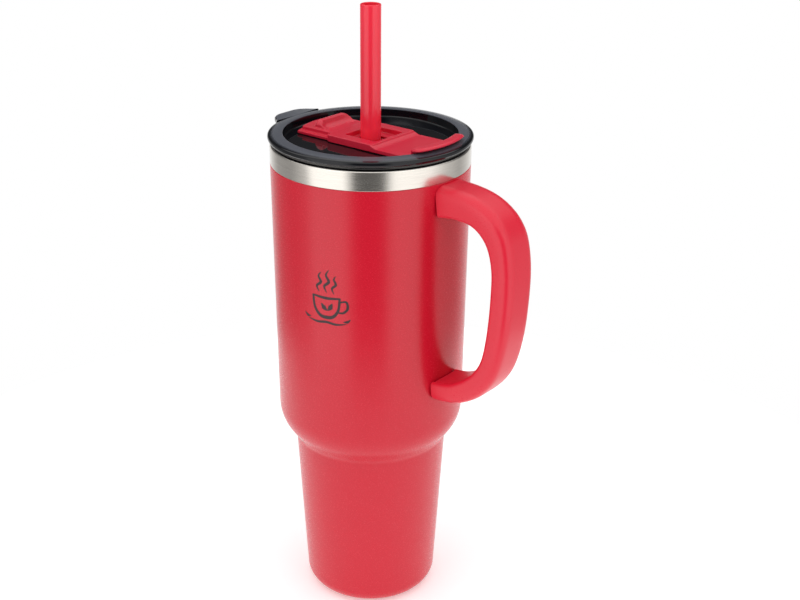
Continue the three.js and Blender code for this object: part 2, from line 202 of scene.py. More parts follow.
WALL_PER_RADIAN = 0.05  # metres of wall to a radian, so textures keep their scale round the mug


class Nodes:
    """A short way to write a node material on one Principled shader."""

    def __init__(self, name, **values):
        self.material = bpy.data.materials.new(name)
        self.material.use_nodes = True
        self.tree = self.material.node_tree
        self.shader = self.tree.nodes["Principled BSDF"]
        self.coordinates = self.tree.nodes.new("ShaderNodeTexCoord").outputs["Object"]
        for key, value in values.items():
            self.shader.inputs[key.replace("_", " ")].default_value = value

    def add(self, kind, inputs=None, **settings):
        node = self.tree.nodes.new(kind)
        for key, value in settings.items():
            setattr(node, key, value)
        for key, value in (inputs or {}).items():
            self.put(node.inputs[key], value)
        return node

    def put(self, socket, value):
        """Links an output to the socket, or sets its value."""
        if isinstance(value, bpy.types.NodeSocket):
            self.tree.links.new(value, socket)
        else:
            socket.default_value = value

    def noise(self, scale, detail=2.0, stretch=(1, 1, 1), roughness=0.5, vector=None):
        mapped = self.add("ShaderNodeMapping", {"Vector": vector or self.coordinates, "Scale": stretch})
        inputs = {"Vector": mapped.outputs[0], "Scale": scale, "Detail": detail, "Roughness": roughness}
        return self.add("ShaderNodeTexNoise", inputs).outputs["Fac"]

    def ramp(self, value, low, high, start=0.3, end=0.7):
        """Maps value from start..end to low..high."""
        inputs = {"Value": value, "From Min": start, "From Max": end, "To Min": low, "To Max": high}
        return self.add("ShaderNodeMapRange", inputs).outputs["Result"]

    def blend(self, factor, first, second):
        node = self.add("ShaderNodeMix", data_type="RGBA")
        self.put(node.inputs["Factor"], factor)
        self.put(node.inputs["A"], (*first, 1) if isinstance(first, tuple) else first)
        self.put(node.inputs["B"], (*second, 1) if isinstance(second, tuple) else second)
        return node.outputs["Result"]

    def math(self, operation, *values):
        node = self.add("ShaderNodeMath", operation=operation)
        for socket, value in zip(node.inputs, values):
            self.put(socket, value)
        return node.outputs[0]

    def bump(self, height, distance, strength=1.0, normal=None):
        inputs = {"Height": height, "Distance": distance, "Strength": strength}
        if normal is not None:
            inputs["Normal"] = normal
        return self.add("ShaderNodeBump", inputs).outputs["Normal"]

    def around(self):
        """Angle about Z and height, as a vector, for textures that run round the mug."""
        parts = self.add("ShaderNodeSeparateXYZ", {"Vector": self.coordinates})
        x, y = parts.outputs["X"], parts.outputs["Y"]
        angle = self.math("ARCTAN2", y, x)
        squares = [self.math("POWER", side, 2.0) for side in (x, y)]
        radius = self.math("SQRT", self.math("ADD", *squares))
        arc = self.math("MULTIPLY", angle, WALL_PER_RADIAN)
        inputs = {"X": arc, "Y": radius, "Z": parts.outputs["Z"]}
        return self.add("ShaderNodeCombineXYZ", inputs).outputs[0]

    def done(self, color=None, roughness=None, normal=None):
        for key, value in (("Base Color", color), ("Roughness", roughness), ("Normal", normal)):
            if value is not None:
                self.put(self.shader.inputs[key], value)
        return self.material


def powder_coat(name, color, dark):
    """Satin powder coat: a fine pebbled skin over a slow orange-peel wave."""
    m = Nodes(name)
    speckle = m.noise(2600, 3)
    patch = m.noise(45, 2)
    peel = m.bump(m.noise(950, 2), 0.00004, 0.16)
    skin = m.bump(m.noise(3600, 2), 0.000028, 0.60, peel)
    tint = m.blend(m.ramp(speckle, 0.0, 1.0, 0.35, 0.65), dark, color)
    shade = m.blend(m.ramp(patch, 0.0, 0.18), tint, dark)
    return m.done(shade, m.ramp(speckle, 0.20, 0.29), skin)


def brushed_steel(name, color, dark, roughness, stretch):
    """Stainless steel with fine lines round the axis."""
    m = Nodes(name, Metallic=1.0, Anisotropic=0.35)
    place = m.around()
    fine = m.noise(4200, 3, stretch, 0.6, place)
    broad = m.noise(900, 2, stretch, 0.5, place)
    smear = m.noise(24, 2, (1, 1, 1), 0.5)
    lines = m.math("ADD", m.math("MULTIPLY", fine, 0.65), m.math("MULTIPLY", broad, 0.35))
    tone = m.blend(m.ramp(lines, 0.0, 1.0, 0.36, 0.64), dark, color)
    rough = m.math("ADD", m.ramp(lines, roughness - 0.03, roughness + 0.05), m.ramp(smear, -0.02, 0.03))
    return m.done(tone, rough, m.bump(lines, 0.000012, 0.35))


def moulded(name, color, dark, roughness, coat=0.0, grain=2400, depth=0.00002, **extra):
    """Injection-moulded plastic with a fine spark-eroded grain and faint flow marks."""
    m = Nodes(name, Coat_Weight=coat, Coat_Roughness=0.12, **extra)
    pebble = m.noise(grain, 3)
    flow = m.noise(38, 3, (1, 1, 0.45))
    tint = m.blend(m.ramp(flow, 0.0, 0.55), color, dark)
    rough = m.math("ADD", m.ramp(pebble, roughness - 0.04, roughness + 0.05), m.ramp(flow, -0.02, 0.03))
    return m.done(tint, rough, m.bump(pebble, depth, 0.5))


SATIN_AND_SHEEN_LOW, SATIN_AND_SHEEN_HIGH = LID_TOP - 0.00062, LID_TOP - 0.00036  # the gloss roughens to a half-matt finish between these heights, and a painted bluish-grey sheen lightens the colour there


def gloss_black(name):
    """Gloss plastic with faint sink waves and hairline scuffs, and a rougher top face on the ring painted a
    lighter bluish grey: a painted sheen standing in for reflected sky light.
    """
    m = Nodes(name, IOR=1.40)
    wave = m.noise(70, 1)
    scuff = m.noise(900, 2, (1, 14, 1))
    grain = m.noise(2600, 2)
    height = m.add("ShaderNodeSeparateXYZ", {"Vector": m.coordinates}).outputs["Z"]
    # height mask for the ring's top face: it makes the face rougher and also carries the painted sheen colour
    satin_and_sheen_mask = m.ramp(height, 0.0, 1.0, SATIN_AND_SHEEN_LOW, SATIN_AND_SHEEN_HIGH)
    gloss = m.blend(m.ramp(wave, 0.0, 1.0), (0.0030, 0.0034, 0.0052), (0.0050, 0.0052, 0.0075))
    # painted sheen: a lighter bluish grey that stands in for reflected light, not the black plastic's own
    # colour
    painted_sheen_tint = m.blend(m.ramp(grain, 0.0, 1.0), (0.070, 0.076, 0.094), (0.083, 0.090, 0.110))
    tint = m.blend(satin_and_sheen_mask, gloss, painted_sheen_tint)
    polished = m.ramp(scuff, 0.04, 0.09, 0.45, 0.75)
    rough = m.math("ADD", polished, m.math("MULTIPLY", satin_and_sheen_mask, m.ramp(grain, 0.24, 0.32)))
    return m.done(tint, rough, m.bump(wave, 0.00006, 0.25))


def silicone(name, color, dark):
    """Matt silicone with a dusty bloom."""
    m = Nodes(name, Subsurface_Weight=0.12, Subsurface_Scale=0.002)
    bloom = m.noise(420, 3)
    return m.done(m.blend(m.ramp(bloom, 0.0, 0.8), color, dark), m.ramp(bloom, 0.55, 0.72),
                  m.bump(m.noise(2800, 2), 0.00001, 0.5))


def print_ink(name):
    """Pad-printed dark ink, slightly glossier than the coat, thinning in pinholes."""
    m = Nodes(name)
    pin = m.noise(3200, 2)
    tint = m.blend(m.ramp(pin, 0.0, 1.0, 0.3, 0.8), (0.018, 0.010, 0.012), (0.045, 0.016, 0.02))
    return m.done(tint, m.ramp(pin, 0.38, 0.5), m.bump(pin, 0.00001, 0.5))


RED = powder_coat("powder_coat", (0.66, 0.0062, 0.027), (0.57, 0.0047, 0.021))
RED_PLASTIC = moulded("red_plastic", (0.66, 0.012, 0.042), (0.60, 0.009, 0.034), 0.34)
# painted light: the handle's red is a lighter copy of the other red plastic, standing in for the stronger
# light the handle catches
LIT_HANDLE_RED = moulded("lit_handle_plastic", (0.77, 0.014, 0.040), (0.70, 0.011, 0.034), 0.30)
STRAW_RED = moulded("straw_plastic", (0.95, 0.030, 0.062), (0.88, 0.024, 0.052), 0.16, 0.0, 3000, 0.000006,
                    Subsurface_Weight=0.15, Subsurface_Scale=0.002)
RIM_STEEL = brushed_steel("rim_steel", (0.76, 0.72, 0.66), (0.68, 0.64, 0.585), 0.17, (0.03, 1, 1))
PLAIN_STEEL = brushed_steel("plain_steel", (0.58, 0.57, 0.55), (0.44, 0.43, 0.42), 0.36, (0.12, 1, 1))
BLACK = gloss_black("gloss_black")
CLEAR_SILICONE = silicone("seal_silicone", (0.62, 0.61, 0.58), (0.50, 0.49, 0.47))
RED_SILICONE = silicone("red_silicone", (0.42, 0.006, 0.02), (0.33, 0.004, 0.015))
INK = print_ink("print_ink")

# ---- Vacuum body ----


def body_radius(z, inset=0.0):
    """Radius of the body's outer face at height z, moved inwards by inset."""
    lower = LOWER_R + LOWER_SLOPE * z - inset
    upper = UPPER_R + UPPER_SLOPE * z - inset
    if z >= SHOULDER_Z:
        return upper
    centre = UPPER_R + UPPER_SLOPE * SHOULDER_Z - SHOULDER_ARC
    arc = SHOULDER_ARC - inset
    drop = min(SHOULDER_Z - z, arc)
    shoulder = centre + sqrt(arc * arc - drop * drop)
    near = max(1 - abs(lower - shoulder) / CREASE_BLEND, 0)
    return max(lower, shoulder) + CREASE_BLEND * near * near / 4


def body_face(low, high, inset=0.0):
    """The wall from low to high as (radius, height) points, close together through the shoulder."""
    below, step = CREASE_Z - 0.009, 0.0008
    levels = [low + (below - low) * k / 6 for k in range(7)]
    levels += [CREASE_Z + k * step for k in range(-8, 3)]
    reach = asin((SHOULDER_Z - CREASE_Z - 0.002) / SHOULDER_ARC)
    levels += [SHOULDER_Z - SHOULDER_ARC * sin(reach * k / 16) for k in range(16, -1, -1)]
    levels += [SHOULDER_Z + (high - SHOULDER_Z) * k / 8 for k in range(1, 9)]
    return [(body_radius(z, inset), z) for z in levels]


def base_fillet(inset, steps=12):
    """The rounding from the standing face up into the wall, as (radius, height) points."""
    centre = body_radius(BASE_FILLET) - BASE_FILLET
    radius = BASE_FILLET - inset
    angles = [pi / 2 * k / steps for k in range(steps)]
    return [(centre + radius * sin(a), BASE_FILLET - radius * cos(a)) for a in angles]


def outer_shell():
    """The painted wall, open at the foot for the base disc, with its two edges bevelled."""
    bevel = 0.0002
    opening = CAP_HIGH.x + 0.0002
    lip = PAINT_TOP + 0.0001
    outside = base_fillet(0) + body_face(BASE_FILLET, lip - bevel)
    inside = base_fillet(WALL) + body_face(BASE_FILLET, lip, WALL)
    outline = [(opening, 2 * bevel), (opening + 2 * bevel, 0.0)] + outside
    outline += [(outside[-1][0] - bevel, lip)] + inside[::-1] + [(opening, WALL)]
    shell = lathe("painted_shell", outline, RED)
    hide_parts("outer_shell")
    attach(shell, "mug")


def inner_liner():
    """The steel liner, its rolled mouth and the bare band that folds down over the painted shell."""
    taper_top, neck_low = 0.228, 0.236
    inside = body_face(LINER_LOW.z, taper_top, LINER_INSET + LINER_WALL)
    outside = body_face(LINER_LOW.z, taper_top, LINER_INSET)
    wall, fold = MOUTH_R + LINER_WALL, RIM_R - 0.0011
    fold_low, fold_top = PAINT_TOP + 0.0002, RIM_TOP - 0.0025
    mouth = rounded([
        (wall, neck_low), (wall, fold_top), (fold, fold_top), (fold, fold_low),
        (RIM_R, fold_low, 0.0003), (RIM_R, RIM_TOP, 0.0014), (MOUTH_R, RIM_TOP, 0.0007),
        (MOUTH_R, neck_low),
    ], 8)
    liner = lathe("steel_liner", outside + mouth + inside[::-1], RIM_STEEL)
    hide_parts("inner_liner")
    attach(liner, "mug")


def liner_bottom():
    """The dished bottom of the liner, with a raised middle."""
    low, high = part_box("liner_bottom")
    radius, sheet, boss = high.x, 0.001, low.z + 0.0022
    outline = rounded([
        (0, low.z), (radius, low.z, 0.005), (radius, high.z), (radius - sheet, high.z),
        (radius - sheet, low.z + sheet, 0.0045), (0.012, low.z + sheet, 0.002),
        (0.009, boss, 0.002), (0, boss),
    ], 6)
    bottom = lathe("steel_liner_bottom", outline, PLAIN_STEEL, 128)
    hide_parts("liner_bottom")
    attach(bottom, "mug")


def base_cap():
    """The pressed disc in the base, with a shallow ring rolled into it."""
    edge, top = CAP_HIGH.x, CAP_HIGH.z
    face, ring = 0.0003, 0.0008
    outline = rounded([
        (0, face), (0.0155, face, 0.0008), (0.0165, ring, 0.0006), (0.0185, ring, 0.0006),
        (0.0195, face, 0.0008), (edge, 0.0, 0.0004), (edge, top), (0, top),
    ])
    cap = lathe("base_disc", outline, RED, 128)
    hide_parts("base_cap")
    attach(cap, "mug")


# ---- Printed motif: a steaming cup over two leaves ----


def stroke(points, widths, steps=10):
    """A ribbon outline along a smooth line through points, with a width at each point."""
    line = []
    for i in range(len(points) - 1):
        before = Vector(points[max(i - 1, 0)])
        a, b = Vector(points[i]), Vector(points[i + 1])
        after = Vector(points[min(i + 2, len(points) - 1)])
        for k in range(steps):
            t = k / steps
            place = 0.5 * (2 * a + (b - before) * t + (2 * before - 5 * a + 4 * b - after) * t * t
                           + (3 * a - before - 3 * b + after) * t ** 3)
            line.append((place, widths[i] * (1 - t) + widths[i + 1] * t))
    line.append((Vector(points[-1]), widths[-1]))
    left, right = [], []
    for i, (place, width) in enumerate(line):
        along = line[min(i + 1, len(line) - 1)][0] - line[max(i - 1, 0)][0]
        side = Vector((-along.y, along.x)).normalized() * width / 2
        left.append(place + side)
        right.append(place - side)
    return left, right


# Each stroke: its points, and the line's width at each, in units of MOTIF_SCALE
MOTIF_STROKES = (
    ([(-7, 1.5), (-6.2, -4.5), (-3.5, -8.2), (0, -9), (3.5, -8.2), (6.2, -4.5), (7, 1.5)],
     [1.1, 1.3, 1.6, 1.8, 1.6, 1.3, 1.1]),
    ([(-7.4, 1.5), (0, 0.9), (7.4, 1.5)], [0.8, 1.5, 0.8]),
    ([(6.9, -0.4), (10.2, 0.2), (10.8, -3.2), (8.4, -5.6), (5.6, -5.4)], [0.7, 1.1, 1.3, 1.1, 0.6]),
    ([(-10, -11.2), (-5, -12), (0, -11.4), (5, -12), (10, -11.2)], [0.3, 1.1, 1.3, 1.1, 0.3]),
    ([(-3.6, 3.6), (-4.8, 6.4), (-2.6, 8.8), (-3.8, 11.6), (-2.4, 13.8)], [0.3, 1.1, 1.4, 1.0, 0.2]),
    ([(0.4, 3.8), (-0.8, 6.8), (1.6, 9.4), (0.2, 12.6), (1.8, 15.4)], [0.3, 1.2, 1.5, 1.1, 0.2]),
    ([(4.2, 3.6), (3.2, 6.2), (5.2, 8.4), (4.2, 11), (5.4, 12.8)], [0.3, 1.0, 1.3, 0.9, 0.2]),
    ([(-2.6, -2.0), (-1.2, -4.0), (0.6, -5.4)], [0.2, 2.5, 0.3]),
    ([(3.2, -1.4), (2.2, -3.6), (0.8, -5.4)], [0.2, 2.5, 0.3]),
    ([(-12.2, -8.6), (-10.6, -10.0), (-8.6, -10.2)], [0.2, 1.5, 0.2]),
    ([(12.2, -8.6), (10.6, -10.0), (8.6, -10.2)], [0.2, 1.5, 0.2]),
)
MOTIF_AZIMUTH = radians(-76)
MOTIF_Z = 0.1857
MOTIF_SCALE = 1.03 * MM
INK_PROUD, INK_SUNK = 0.00004, 0.0002


def printed_motif():
    """Each stroke is a thin closed ribbon lying on the curved wall."""

    def on_wall(point, lift):
        z = MOTIF_Z + point.y * MOTIF_SCALE
        radius = body_radius(z) + lift
        angle = MOTIF_AZIMUTH + point.x * MOTIF_SCALE / radius
        return (radius * cos(angle), radius * sin(angle), z)

    ribbons = []
    for points, widths in MOTIF_STROKES:
        left, right = stroke(points, widths)
        ribbons.append(swept([
            [on_wall(a, INK_PROUD), on_wall(b, INK_PROUD), on_wall(b, -INK_SUNK), on_wall(a, -INK_SUNK)]
            for a, b in zip(left, right)
        ]))
    motif = make_object("printed_motif", mesh_from("printed_motif", *joined(ribbons)), INK)
    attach(motif, "mug")


# ---- Handle ----

# The bar's outer and inner edges in its middle plane, as (x, z) in millimetres from top to bottom
OUTER_LINE = [
    (46, 241.7), (60.6, 240.7), (71, 238.6), (79.5, 234.4), (86, 228.5), (90.3, 220), (92.5, 205),
    (92.2, 187), (90, 167.5), (85, 150), (76.5, 138.3), (66.5, 131.4), (57.7, 128.7), (46, 127.7),
]
INNER_LINE = [
    (46, 225.2), (58, 227.2), (69.8, 226), (77.8, 219.3), (81.5, 208), (81.8, 194), (80.6, 176),
    (77.9, 160), (73, 151), (66, 144.5), (57, 139.6), (46, 137.8),
]
HANDLE_STEPS = 120
HANDLE_HALF = (HANDLE_HIGH.y - HANDLE_LOW.y) / 2
INSERT_HALF = (INSERT_HIGH.y - INSERT_LOW.y) / 2
STRIP_DEPTH = 0.0020
SEAM = 0.00022
OUTER_SOFT, INNER_SOFT = 0.0062, 0.0022  # where the bar's edge roundings start
INSIDE_BOX = 0.0001  # keeps the bar's outer face within the CAD box
STANDS_OUT = 0.0006  # sections that come no further out of the wall than this are left off
WALL_GAP = 0.00012


def spline(points, t):
    """A point on a smooth line through points in millimetres, t from 0 to 1, in metres."""
    place = t * (len(points) - 1)
    i = min(int(place), len(points) - 2)
    u = place - i
    a, b = Vector(points[i]), Vector(points[i + 1])
    before = Vector(points[i - 1]) if i else a
    after = Vector(points[i + 2]) if i + 2 < len(points) else b
    v0, v1 = (b - before) / 2, (after - a) / 2
    return ((2 * a - 2 * b + v0 + v1) * u ** 3 + (3 * b - 3 * a - 2 * v0 - v1) * u ** 2 + v0 * u + a) * MM


def even(points, count):
    """count + 1 points spread evenly along a spline."""
    samples = 600
    dense = [spline(points, k / samples) for k in range(samples + 1)]
    lengths = [0.0]
    for a, b in zip(dense, dense[1:]):
        lengths.append(lengths[-1] + (b - a).length)
    found, j = [], 0
    for k in range(count + 1):
        want = lengths[-1] * k / count
        while j < samples - 1 and lengths[j + 1] < want:
            j += 1
        share = (want - lengths[j]) / max(lengths[j + 1] - lengths[j], 1e-9)
        found.append(dense[j].lerp(dense[j + 1], min(share, 1)))
    return found


def matched_outer(inner):
    """For each inner point, the outer-line point that faces it across the bar, kept in order."""
    samples, ahead, square = 900, 40, 0.75
    outer = even(OUTER_LINE, samples)
    last = len(inner) - 1
    found, j = [], 0
    for k, place in enumerate(inner):
        along = (inner[min(k + 1, last)] - inner[max(k - 1, 0)]).normalized()
        span = range(j, min(j + ahead, samples + 1))
        facing = min(span, key=lambda n: abs((outer[n] - place).dot(along)))
        spread = k / last * samples
        j = min(max(j, round(square * facing + (1 - square) * spread)), samples)
        found.append(outer[j])
    return found


def bar_section(inner, outer, facets=9):
    """A rounded section between an inner and an outer point, soft and slightly crowned on the outside."""
    across = outer - inner
    depth = across.length - INSIDE_BOX
    soft, tight = min(OUTER_SOFT, depth * 0.5), min(INNER_SOFT, depth * 0.2)
    channel, bed = INSERT_HALF + SEAM, STRIP_DEPTH + SEAM
    return across_bar(inner, across.normalized(), [
        (-HANDLE_HALF, 0, tight), (-channel, 0, 0.0003), (-channel, bed), (channel, bed),
        (channel, 0, 0.0003), (HANDLE_HALF, 0, tight), (HANDLE_HALF, depth, soft),
        (0, depth + 0.00005, 0.004), (-HANDLE_HALF, depth, soft),
    ], facets)


def strip_section(inner, outer):
    """The grip strip that closes the handle's channel, flush with its inner face."""
    return across_bar(inner, (outer - inner).normalized(), [
        (-INSERT_HALF, 0, 0.0004), (INSERT_HALF, 0, 0.0004),
        (INSERT_HALF, STRIP_DEPTH), (-INSERT_HALF, STRIP_DEPTH),
    ], 5)


def across_bar(inner, across, corners, facets):
    """Points of a section given as (side, depth, cut) corners, depth measured from the inner line."""
    section = []
    for y, d in rounded(corners, facets):
        place = inner + across * d
        section.append((place.x, y, place.y))
    return section


def trimmed(section, gap):
    """Moves points that would lie inside the body out to its wall."""
    found = []
    for x, y, z in section:
        wall = body_radius(z) + gap
        if hypot(x, y) < wall:
            x = sqrt(wall * wall - y * y)
        found.append((x, y, z))
    return found


def handle():
    """The moulded bar and, let into its inner face, the grip strip."""
    inner = even(INNER_LINE, HANDLE_STEPS)
    pairs = list(zip(inner, matched_outer(inner)))
    shapes = (("handle_bar", bar_section, "handle_body"), ("handle_strip", strip_section, "handle_insert"))
    for name, shape, node in shapes:
        sections = [shape(a, b) for a, b in pairs]
        keep = [s for s in sections if max(hypot(x, y) - body_radius(z) for x, y, z in s) > STANDS_OUT]
        piece = loft(name, [trimmed(s, WALL_GAP) for s in keep], LIT_HANDLE_RED)
        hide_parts(node)
        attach(piece, "mug")


handle()
outer_shell()
inner_liner()
liner_bottom()
base_cap()
printed_motif()

# ---- Lid ----

WELL_R = 43.45 * MM
FLOOR_LOW = FLOOR_TOP - 0.0017
PLUG_R = 46.3 * MM
PLUG_INNER = PLUG_R - 0.0017
GROOVE_R = PLUG_R - 0.0011
STRAW_HOLE_R = GROMMET_HIGH.y - 0.0015
STRAW_R = STRAW_HIGH.y
TRAVEL = 5 * MM
SIP_INNER, SIP_OUTER, SIP_ANGLE = 38.6 * MM, 42.2 * MM, 0.155
VENT_X, VENT_R = -0.030, 0.0015
GROOVE_LOW, GROOVE_HIGH = LID_LOW.z + 0.0022, LID_LOW.z + 0.0062
# The closure's two clips: half their length, then where each leg and hook starts and ends in Y
CLIP_X, CLIP_NEAR, CLIP_FAR, HOOK_FAR = 0.004, 0.0126, 0.0144, 0.0156
CLIP_SLOT_NEAR, CLIP_SLOT_FAR = 0.0123, 0.0147
PAST = 0.001  # how far a cutter goes past the face it cuts


def cut(piece, vertices, faces):
    """Takes a closed shape out of a piece."""
    cutter = linked("cutter", mesh_from("cutter", vertices, faces))
    modifier = piece.modifiers.new("cut", "BOOLEAN")
    modifier.operation = "DIFFERENCE"
    modifier.solver = "MANIFOLD"
    modifier.object = cutter
    apply_modifiers(piece)
    bpy.data.objects.remove(cutter)


def sector(inner, outer, angle, steps=12):
    """The flat outline of part of a ring, centred on +X."""
    sweep = [angle * (2 * k / steps - 1) for k in range(steps + 1)]
    return ([(outer * cos(a), outer * sin(a)) for a in sweep]
            + [(inner * cos(a), inner * sin(a)) for a in reversed(sweep)])


def circle(x, y, radius, count):
    """A flat round outline about (x, y)."""
    return [(x + radius * cos(tau * k / count), y + radius * sin(tau * k / count)) for k in range(count)]


def bar(back, front, near, far):
    """A flat oblong outline."""
    return [(back, near), (front, near), (front, far), (back, far)]


def lid_bowl():
    """Plug, floor, well and the flared ring round it."""
    low, seat = LID_LOW.z, RIM_TOP + GAP
    outline = rounded([
        (STRAW_HOLE_R, FLOOR_LOW), (PLUG_INNER, FLOOR_LOW, 0.0006), (PLUG_INNER, low, 0.0004),
        (PLUG_R, low, 0.0005), (PLUG_R, GROOVE_LOW), (GROOVE_R, GROOVE_LOW), (GROOVE_R, GROOVE_HIGH),
        (PLUG_R, GROOVE_HIGH), (PLUG_R, seat), (RIM_R - 0.0010, seat, 0.0003),
        (LID_R, LID_TOP - 0.0024, 0.0006), (LID_R, LID_TOP - 0.0008, 0.0009),
        (WELL_R + 0.0024, LID_TOP, 0.0018), (WELL_R, LID_TOP, 0.0004),
        (WELL_R, FLOOR_TOP, 0.0009), (STRAW_HOLE_R, FLOOR_TOP, 0.0003),
    ], 6)
    bowl = lathe("lid_bowl", outline, BLACK, AROUND, 40)
    slot_back, slot_front = -CLIP_X - TRAVEL - GAP, CLIP_X + GAP
    holes = [bar(slot_back, slot_front, side * CLIP_SLOT_NEAR, side * CLIP_SLOT_FAR) for side in (-1, 1)]
    holes += [sector(SIP_INNER, SIP_OUTER, SIP_ANGLE), circle(VENT_X, 0, VENT_R, 16)]
    cut(bowl, *joined([prism(hole, FLOOR_LOW - PAST, FLOOR_TOP + PAST) for hole in holes]))
    bowl.data.set_sharp_from_angle(angle=radians(40))
    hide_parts("lid_body")
    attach(bowl, "lid")


def lift_tab():
    """The thumb tab behind the lid, thin, with rounded edges and a notch where it leaves the ring."""
    root_x, root_half = 0.0492, 0.0158
    neck_x, half_width = 0.0503, 0.0145
    tip_share = 0.64
    # Depth under the lid's top, and how far the outline is drawn in there
    levels = ((0.0034, 0.0008), (0.0031, 0.0003), (0.0026, 0.0), (0.0012, 0.0),
              (0.0007, 0.0002), (0.0004, 0.0006), (0.0003, 0.0012))
    sections = []
    for depth, inset in levels:
        reach, half = TAB_REACH - inset, half_width - inset
        outline = rounded([
            (-root_x, -root_half + inset), (-neck_x, -half, 0.0020), (-reach, -half * tip_share, 0.0050),
            (-reach, half * tip_share, 0.0050), (-neck_x, half, 0.0020), (-root_x, root_half - inset),
            (-root_x + 0.0012, 0),
        ], 8)
        sections.append([(x, y, LID_TOP - depth) for x, y in outline])
    tab = loft("lift_tab", sections, BLACK, 50)
    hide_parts("lid_body")
    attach(tab, "lid")


def lid_gasket():
    """Silicone ring with two soft lips."""
    low, high = GASKET_LOW.z, GASKET_HIGH.z
    middle, lip = (low + high) / 2, 0.0008
    back, face = GROOVE_R + 0.0002, MOUTH_R - GAP
    outline = rounded([
        (back, low), (PLUG_R - 0.0002, low, 0.0002), (face, low + lip, 0.0006),
        (PLUG_R - 0.0001, middle, 0.0007),
        (face, high - lip, 0.0006), (PLUG_R - 0.0002, high, 0.0002), (back, high),
    ])
    ring = lathe("gasket_ring", outline, CLEAR_SILICONE, AROUND, 50)
    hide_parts("lid_gasket")
    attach(ring, "lid")


def straw_grommet():
    """The seal round the straw: a collar in the floor's hole on a flange under it."""
    bore, flange = STRAW_R + GAP, GROMMET_HIGH.y
    collar, top = STRAW_HOLE_R - GAP, FLOOR_LOW - GAP
    outline = rounded([
        (bore, GROMMET_LOW.z, 0.0003), (flange, GROMMET_LOW.z, 0.0005), (flange, top, 0.0003), (collar, top),
        (collar, GROMMET_HIGH.z, 0.0005), (bore, GROMMET_HIGH.z, 0.0006),
    ])
    grommet = lathe("grommet", outline, RED_SILICONE, 96, 50)
    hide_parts("straw_grommet")
    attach(grommet, "lid")


# ---- Closure ----

FRAME_TOP = 256.7 * MM
FRAME_X = 14.5 * MM
FRAME_Y = 17 * MM
WINDOW_BACK, WINDOW_FRONT, WINDOW_SIDE = -7.6 * MM, 12.1 * MM, 10.8 * MM
FRONT_TOP = 255 * MM
REAR_TOP = 256.6 * MM
FLANGE_TOP = 254.5 * MM
LIP_TOP = SLIDER_HIGH.z
LIP_R = SLIDER_HIGH.x
LIP_HALF = SLIDER_HIGH.y
RIDGE_X = -25.5 * MM
RIDGE_HALF = 11 * MM
FLANGE_HALF, REAR_HALF = 15.5 * MM, 13 * MM
SHEET = 0.0008  # the plate's floor inside the window
SEAL_DEPTH = 0.001  # the pocket under the plate for the sip seal
VOXEL = 0.00025
SOFTEN = 3  # smoothing passes over the moulding's edges


def rounded_end(end, half, root, side, steps=40):
    """A plate outline with straight sides and one end on an arc about the origin."""
    sweep = asin(half / end)
    arc = [(side * end * cos(sweep * (1 - 2 * k / steps)), end * sin(sweep * (1 - 2 * k / steps)))
           for k in range(steps + 1)]
    return [(side * root, half)] + arc + [(side * root, -half)]


def ring_prism(outer, inner, low, high):
    """A flat ring between two outlines with the same number of points, raised from low to high."""
    count = len(outer)
    vertices = [(x, y, z) for z in (low, high) for outline in (outer, inner) for x, y in outline]
    faces = []
    for k in range(count):
        n = (k + 1) % count
        # bottom, top, outer wall, inner wall
        faces += [(a * count + k, a * count + n, b * count + n, b * count + k)
                  for a, b in ((0, 1), (2, 3), (0, 2), (1, 3))]
    return vertices, faces


def side_prism(outline, half):
    """An XZ outline extruded along Y."""
    vertices, faces = prism(outline, -half, half)
    return [(x, y, z) for x, z, y in vertices], faces


def rectangle(x0, x1, y, cut_by, steps=6):
    """A flat outline with rounded corners, as wide to each side of the X axis."""
    return rounded([(x0, -y, cut_by), (x1, -y, cut_by), (x1, y, cut_by), (x0, y, cut_by)], steps)


def obround(x0, x1, radius, steps=6):
    """A slot outline with as many points as a rectangle's: two points stand for each corner's run."""
    found = []
    for x, start in ((x0, pi), (x1, 1.5 * pi), (x1, 0.0), (x0, 0.5 * pi)):
        found += [(x + radius * cos(start + pi / 2 * k / steps), radius * sin(start + pi / 2 * k / steps))
                  for k in range(steps + 1)]
    return found


def concave_riser():
    """The soft hollow that runs from the frame down to the front plate."""
    run, rise = 0.0068, FRAME_TOP - FRONT_TOP
    root, foot = FRAME_X - 0.001, FRONT_TOP - 0.0002
    curve = [(root + run * k / 10, foot + rise * (1 - k / 10) ** 2.2) for k in range(11)]
    outline = curve + [(curve[-1][0], SLIDER_FLOOR), (root, SLIDER_FLOOR)]
    return side_prism(outline, FRAME_Y)


def beyond(share, start):
    """0 up to start, then rising to 1 at the end of the sweep."""
    return max(0.0, (abs(share) - start) / (1 - start))


def flared_lip():
    """The crescent that a finger pulls: it scoops up from the front plate and flares out over the ring."""
    face, throat, depth = WELL_R - 0.0004, 0.0425, 0.0063
    scoop = [(0.0362, 0.25495), (0.0386, 0.25530), (0.0402, 0.25620), (0.0411, 0.25760), (0.0416, 0.25920)]
    sweep = asin(LIP_HALF / LIP_R)
    sections, steps = [], 96
    for k in range(steps + 1):
        share = 2 * k / steps - 1
        pull = 0.0040 * beyond(share, 0.80) ** 2.4
        drop = 0.0013 * beyond(share, 0.78) ** 2
        shrink = 1 - 0.85 * beyond(share, 0.72) ** 1.5
        edge, top = LIP_R - pull, LIP_TOP - drop
        profile = [(face, SLIDER_FLOOR)] + rounded([
            (face, LID_TOP + 0.0002), (edge - 0.0016, LID_TOP + 0.0010, 0.0006), (edge, top - 0.0010, 0.0007),
            (edge - 0.0012, top, 0.0006), (face - 0.0002, top, 0.0010),
        ], 5)[:-1]
        profile += [(throat - (throat - r) * shrink, min(z, top)) for r, z in reversed(scoop)]
        profile.append((throat - depth * shrink, SLIDER_FLOOR))
        angle = sweep * share
        sections.append([(r * cos(angle), r * sin(angle), z) for r, z in profile])
    return swept(sections)


